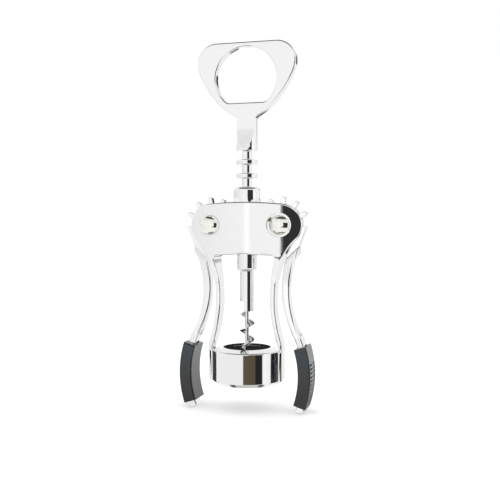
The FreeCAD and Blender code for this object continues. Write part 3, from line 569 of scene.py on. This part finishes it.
def make_grips():
    """Moulded grips along the arms' tangs, grooved across the outer face."""
    bow = (GRIP_BOW_X, GRIP_BOW_Z)
    outer, inner = GRIP_BOW + GRIP_HALF, GRIP_BOW - GRIP_HALF
    outline = arc(bow, outer, GRIP_SPREAD, -GRIP_DROP, 36) + arc(bow, inner, -GRIP_DROP, GRIP_SPREAD, 36)
    grip = slab("grip_right_moulding", outline, GRIP_HALF_DEPTH)
    round_edges(grip, 0.8, level)
    score(grip, range(-6, 7, 2), (0, 1, 0))

    def pocket_and_rib(x, y, z):
        """Each groove is a pocket by the front edge, and shallow from there on."""
        deep = x - outer
        return (x if deep > 0 else outer + deep * (POCKET_SHARE if y < POCKET_END else RIB_SHARE)), y, z
    for number in range(GROOVE_COUNT):
        turn = math.radians(FIRST_GROOVE + GROOVE_STEP * number)
        groove = slab("groove", [(outer + out, aside) for out, aside in GROOVE],
                      GRIP_HALF_DEPTH - GRIP_BORDER)
        score(groove, (POCKET_END - 0.1, POCKET_END + 0.1), (0, 1, 0))
        reshape(groove, pocket_and_rib)
        reshape(groove, lambda x, y, z: (
            GRIP_BOW_X + x * math.cos(turn) - z * math.sin(turn), y,
            GRIP_BOW_Z + x * math.sin(turn) + z * math.cos(turn)))
        fit(grip, groove, "DIFFERENCE")
    channel = arc(bow, GRIP_BOW + TANG_HALF, 24, -24, 30) + arc(bow, GRIP_BOW - TANG_HALF, -24, 24, 30)
    slot = slab("slot", channel, 4.0)
    fit(grip, slot, "DIFFERENCE")
    shift(grip, PIVOT_X, 0, PIVOT_Z)
    left = copied(grip, "grip_left_moulding")
    reshape(left, lambda x, y, z: (-x, y, z))
    open_piece(left)
    bpy.ops.mesh.flip_normals()
    close_piece()
    finish_piece(grip, "grip_plastic", "lever_right", "grip_right")
    finish_piece(left, "grip_plastic", "lever_left", "grip_left")


# ---------------------------------------------------------------- rivets

DOME_RADIUS, DOME_TOP, DOME_FALL = 5.25, 7.7, 2.1


def make_rivets():
    """Two-part domed rivets: the front half carries the shank and the rear half the tube."""
    dome = [(DOME_RADIUS, 5.0), (DOME_RADIUS, 5.3), (DOME_RADIUS - 0.06, 5.5)]
    for step in range(16, 0, -1):
        share = 0.97 * step / 16
        dome.append((DOME_RADIUS * share, DOME_TOP - DOME_FALL * share ** 2.8))
    front = turned("rivet_right_front", [
        (0, 4.1), (1.9, 4.1), (1.9, -5.0), *[(radius, -place) for radius, place in dome],
        (0, -DOME_TOP)], "Y", 72)
    back = turned("rivet_right_back", [
        (1.92, -4.6), (2.9, -4.6), (2.9, 5.0)] + dome + [(0, DOME_TOP), (0, 5.0), (1.92, 5.0)], "Y", 72)
    for piece, node in ((front, "pivot_rivet"), (back, "rivet_cap")):
        other = copied(piece, piece.name.replace("right", "left"))
        shift(piece, PIVOT_X, 0, PIVOT_Z)
        shift(other, -PIVOT_X, 0, PIVOT_Z)
        finish_piece(piece, "rivet_nickel", "frame", node + "_right")
        finish_piece(other, "rivet_nickel", "frame", node + "_left")


# ---------------------------------------------------------------- spindle

RING_PITCH, TOP_RING, RING_COUNT = 7.0686, 114.5, 6
SPINDLE, CORE, RING_HALF = 5.35, 2.6, 1.2
HUB_FOOT = 120.37


def make_rack():
    """The ringed sleeve that the teeth drive, with the guide barrel below its rings."""
    guide_top = TOP_RING - RING_COUNT * RING_PITCH + RING_HALF
    profile = [(1.78, 58.2), *arc((SPINDLE - 1.8, 60.0), 1.8, -90, 0, 8)]
    profile += [(SPINDLE, guide_top), (CORE, guide_top)]
    for number in range(RING_COUNT - 1, -1, -1):
        middle = TOP_RING - number * RING_PITCH
        low, high = middle - RING_HALF, middle + RING_HALF
        profile += [(CORE, low), (SPINDLE, low), (SPINDLE, high), (CORE, high)]
    profile += [(CORE, HUB_FOOT - 0.15), (1.78, HUB_FOOT - 0.15)]
    rack = turned("ringed_sleeve", profile)
    ease_edges(rack, 0.45)
    finish_piece(rack, "chrome_spindle", "rack", "rack_sleeve")


def make_ferrule():
    """Holder of the worm, cut away on one side of its lower end."""
    ferrule = turned("worm_holder", [
        (1.07, 37.25), (3.85, 37.25), (3.85, 58.05), (1.7, 58.05), (1.7, 49.05), (0, 49.05), (0, 46.25),
        (1.07, 46.25)], "Z", 72)
    step = slab("step", [(-0.9, 36), (-0.9, 42.45), (-5, 42.45), (-5, 36)], 5)
    fit(ferrule, step, "DIFFERENCE")
    ease_edges(ferrule, 0.2)
    finish_piece(ferrule, "chrome_spindle", "screw", "worm_ferrule")


# ---------------------------------------------------------------- opener handle

HUB_TOP = HUB_FOOT + 17.3
TONGUE_TOP = HUB_FOOT + 11.2
PLATE_TOP, PLATE_HALF = HUB_TOP + 38.6, 2.5
EYE_Z, EYE_RADIUS, EYE_CHORD = HUB_TOP + 20.1, 16.2, HUB_TOP + 7.5


def make_handle():
    """Bottle-opener loop on a round hub whose flats run out in a tongue."""
    corner = (16.0, PLATE_TOP - 10.3)
    right = [(0, PLATE_TOP), (8, PLATE_TOP)] + arc(corner, 10.3, 90, -12, 20)[:-1]
    right += sweep((26.07, 163.8), (24.6, 156.6), (15.8, 142.6), (SPINDLE, HUB_TOP), 24)
    right += [(SPINDLE, HUB_TOP - 2.5), (0, HUB_TOP - 2.5)]
    outline = right + [(-x, z) for x, z in reversed(right[1:-1])]
    handle = slab("opener_handle_casting", outline, PLATE_HALF)
    chord_half = math.sqrt(EYE_RADIUS ** 2 - (EYE_Z - EYE_CHORD) ** 2)
    low = math.degrees(math.atan2(EYE_CHORD - EYE_Z, chord_half))
    eye = slab("eye", arc((0, EYE_Z), EYE_RADIUS, low, 180 - low, 72), 6)
    round_edges(eye, 1.2, lambda a, b: abs(a.z - EYE_CHORD) + abs(b.z - EYE_CHORD) < 0.02
                and abs(a.x - b.x) < 0.01)
    fit(handle, eye, "DIFFERENCE")
    round_edges(handle, 0.9, lambda a, b: level(a, b) and abs(a.y) > PLATE_HALF - 0.01
                and max(a.z, b.z) > HUB_TOP + 0.5)

    hub = turned("hub", [(0, HUB_FOOT), (SPINDLE, HUB_FOOT), (SPINDLE, HUB_TOP), (0, HUB_TOP)])
    ease_edges(hub, 0.35)
    tongue = [(PLATE_HALF + (SPINDLE - PLATE_HALF) * (step / 10) ** 1.2, TONGUE_TOP - 1.02 * step)
              for step in range(11)]
    for side in (1, -1):
        flat = slab("flat", tongue + [(9, HUB_FOOT + 1.0), (9, TONGUE_TOP)], 8)
        reshape(flat, lambda x, y, z: (-side * y, side * x, z))
        fit(hub, flat, "DIFFERENCE")
        above = slab("above", [(-8, TONGUE_TOP), (8, TONGUE_TOP), (8, HUB_TOP + 1), (-8, HUB_TOP + 1)], 3)
        fit(hub, shift(above, y=side * 5.5), "DIFFERENCE")
    trim = turned("trim", [(SPINDLE, 125), (12, 125), (12, HUB_TOP - 0.4), (SPINDLE, HUB_TOP - 0.4)])
    fit(handle, trim, "DIFFERENCE")
    fit(handle, hub, "UNION")
    finish_piece(handle, "chrome_casting", "screw", "opener_handle")


make_casting()
make_levers()
make_grips()
make_rivets()
make_rack()
make_ferrule()
make_handle()


# ---------------------------------------------------------------- studio

CAMERA_SIDE = 15.5
CAMERA_DISTANCE = 0.400
CAMERA_HEIGHT = 0.082
AIM = Vector((0.0015, 0.0004, 0.0690))
LENS = 55.3


def make_camera():
    turn = math.radians(CAMERA_SIDE)
    place = Vector((CAMERA_DISTANCE * math.sin(turn), -CAMERA_DISTANCE * math.cos(turn), CAMERA_HEIGHT))
    bpy.ops.object.camera_add(location=place)
    camera = bpy.context.object
    camera.rotation_euler = (AIM - place).to_track_quat("-Z", "Y").to_euler()
    camera.data.lens = LENS
    camera.data.sensor_width = 36
    camera.data.clip_start, camera.data.clip_end = 0.01, 20
    bpy.context.scene.camera = camera


def make_floor():
    """A plain pale floor just below the lowest point. Polished metal mirrors the tent there instead."""
    bpy.ops.mesh.primitive_circle_add(
        vertices=96, radius=3, fill_type="NGON", location=(0, 0, cad_low.z - 0.2 * MM))
    floor = bpy.context.object
    floor.name = "studio_floor"
    finish, tree, shader = new_finish("pale_floor")
    shader.inputs["Base Color"].default_value = (1, 1, 1, 1)
    shader.inputs["Roughness"].default_value = 0.9
    shader.inputs["Specular IOR Level"].default_value = 0.0
    shader.inputs["Emission Color"].default_value = (1, 1, 1, 1)
    shader.inputs["Emission Strength"].default_value = 0.25
    path = add_node(tree, "ShaderNodeLightPath")
    clear = add_node(tree, "ShaderNodeBsdfTransparent")
    either = add_node(tree, "ShaderNodeMixShader")
    tree.links.new(path.outputs["Is Glossy Ray"], either.inputs["Fac"])
    tree.links.new(shader.outputs["BSDF"], either.inputs[1])
    tree.links.new(clear.outputs["BSDF"], either.inputs[2])
    tree.links.new(either.outputs["Shader"], tree.nodes["Material Output"].inputs["Surface"])
    floor.data.materials.append(finish)


# Tone of the tent's walls, by degrees to the right of the way that the front camera looks back: white
# cloth, a black screen to the right of the middle, and a dark gap at each side behind the camera.
WALLS = [
    (-180, 1.0), (-172, 1.0), (-170, 0.1), (-161, 0.15), (-158, 0.75), (-60, 0.9), (-31, 0.95), (-27, 1.1),
    (-23, 0.95), (3, 0.95), (5, 0.03), (54, 0.03), (57, 1.1), (84, 0.95), (158, 0.9), (161, 0.15),
    (170, 0.1), (172, 1.0), (180, 1.0)]
# White cloth above the screens and below them, by degrees above the level.
CLOTH = [(-90, 0.97), (-24, 0.97), (-19, 0.0), (14, 0.0), (20, 0.97), (90, 0.97)]
# Tone by height: dark and grey below the table's edge, and a dark opening overhead.
HEIGHTS = [(-90, 0.1), (-86, 0.1), (-82, 0.6), (-70, 0.6), (-67, 0.1), (-61, 0.15), (-57, 0.95),
           (12, 1.0), (24, 0.9), (44, 0.8), (50, 0.1), (90, 0.05)]
# A lower white table with a brown panel, a black one and a dark gap: its tone round the tent, the heights
# at which it shows, and the share of LEAN_ANGLE by which it leans to the side at each height.
BROWN, BLACK = (0.1, 0.08, 0.05), 0.02
STAND = [
    (-180, 0.9), (4, 0.9), (6, BROWN), (44, BROWN), (46, BLACK), (68, BLACK), (71, 1.0), (112, 0.9),
    (115, BLACK), (142, BLACK), (146, 0.9), (180, 0.9)]
STAND_SHOWS = [(-90, 0.0), (-14.5, 0.0), (-13, 1.0), (-8.4, 1.0), (-7.2, 0.0), (90, 0.0)]
STAND_LEAN = [(-90, 1.0), (-8, 1.0), (-3, 0.0), (90, 0.0)]
# A band of the walls a little above the level, with a dark rail at the far right: its tone round the tent,
# and the heights at which it shows.
UPPER = [
    (-180, 1.0), (-60, 0.95), (3, 0.95), (5, 0.03), (54, 0.03), (57, 1.1), (84, 0.95), (140, 0.95),
    (143, 0.05), (159, 0.05), (162, 0.95), (180, 1.0)]
UPPER_SHOWS = [(-90, 0.0), (5, 0.0), (7, 1.0), (15, 1.0), (19, 0.0), (90, 0.0)]
LEAN_ANGLE = 18


def tent_ramp(tree, value, reach, stops):
    """A ramp over an angle from -reach to reach degrees, with one stop for each (place, tone)."""
    spread = add_node(tree, "ShaderNodeMapRange")
    spread.inputs["From Min"].default_value = -math.radians(reach)
    spread.inputs["From Max"].default_value = math.radians(reach)
    tree.links.new(value, spread.inputs["Value"])
    ramp = add_node(tree, "ShaderNodeValToRGB")
    tree.links.new(spread.outputs["Result"], ramp.inputs["Fac"])
    colours = ramp.color_ramp.elements
    colours.remove(colours[1])
    for number, (place, tone) in enumerate(stops):
        share = (place + reach) / (2 * reach)
        stop = colours.new(share) if number else colours[0]
        stop.position = share
        stop.color = (*tone, 1) if isinstance(tone, tuple) else (tone, tone, tone, 1)
    return ramp.outputs["Color"]


def mixed(tree, kind, first, second, share=None):
    mix = add_node(tree, "ShaderNodeMix", data_type="RGBA", blend_type=kind)
    mix.inputs["Factor"].default_value = 1
    if share is not None:
        tree.links.new(share, mix.inputs["Factor"])
    tree.links.new(first, mix.inputs["A"])
    tree.links.new(second, mix.inputs["B"])
    return mix.outputs["Result"]


def make_light_tent():
    """White all round for light and background; polished metal mirrors walls, screens and gaps instead."""
    world = bpy.data.worlds.new("light_tent")
    world.use_nodes = True
    bpy.context.scene.world = world
    tree = world.node_tree
    tree.nodes.clear()
    place = add_node(tree, "ShaderNodeTexCoord")
    turn = add_node(tree, "ShaderNodeMapping", vector_type="POINT")
    turn.inputs["Rotation"].default_value = (0, 0, math.radians(90 - CAMERA_SIDE))
    split = add_node(tree, "ShaderNodeSeparateXYZ")
    around = add_node(tree, "ShaderNodeMath", operation="ARCTAN2")
    up = add_node(tree, "ShaderNodeMath", operation="ARCSINE")
    tree.links.new(place.outputs["Generated"], turn.inputs["Vector"])
    tree.links.new(turn.outputs["Vector"], split.inputs["Vector"])
    tree.links.new(split.outputs["Y"], around.inputs[0])
    tree.links.new(split.outputs["X"], around.inputs[1])
    tree.links.new(split.outputs["Z"], up.inputs[0])
    leaning = add_node(tree, "ShaderNodeMath", operation="MULTIPLY_ADD")
    leaning.inputs[1].default_value = math.radians(LEAN_ANGLE)
    tree.links.new(tent_ramp(tree, up.outputs[0], 90, STAND_LEAN), leaning.inputs[0])
    tree.links.new(around.outputs[0], leaning.inputs[2])
    walls = tent_ramp(tree, around.outputs[0], 180, WALLS)
    hung = mixed(tree, "LIGHTEN", walls, tent_ramp(tree, up.outputs[0], 90, CLOTH))
    upper = tent_ramp(tree, around.outputs[0], 180, UPPER)
    hung = mixed(tree, "MIX", hung, upper, tent_ramp(tree, up.outputs[0], 90, UPPER_SHOWS))
    stand = tent_ramp(tree, leaning.outputs[0], 180, STAND)
    shows = tent_ramp(tree, up.outputs[0], 90, STAND_SHOWS)
    heights = tent_ramp(tree, up.outputs[0], 90, HEIGHTS)
    seen = mixed(tree, "MULTIPLY", mixed(tree, "MIX", hung, stand, shows), heights)
    path = add_node(tree, "ShaderNodeLightPath")
    mirrored = add_node(tree, "ShaderNodeMix", data_type="RGBA")
    mirrored.inputs["A"].default_value = (1, 1, 1, 1)
    tree.links.new(path.outputs["Is Glossy Ray"], mirrored.inputs["Factor"])
    tree.links.new(seen, mirrored.inputs["B"])
    tent = add_node(tree, "ShaderNodeBackground")
    out = add_node(tree, "ShaderNodeOutputWorld")
    tree.links.new(mirrored.outputs["Result"], tent.inputs["Color"])
    tree.links.new(tent.outputs["Background"], out.inputs["Surface"])


make_camera()
make_floor()
make_light_tent()
bpy.context.scene.view_settings.view_transform = "Standard"
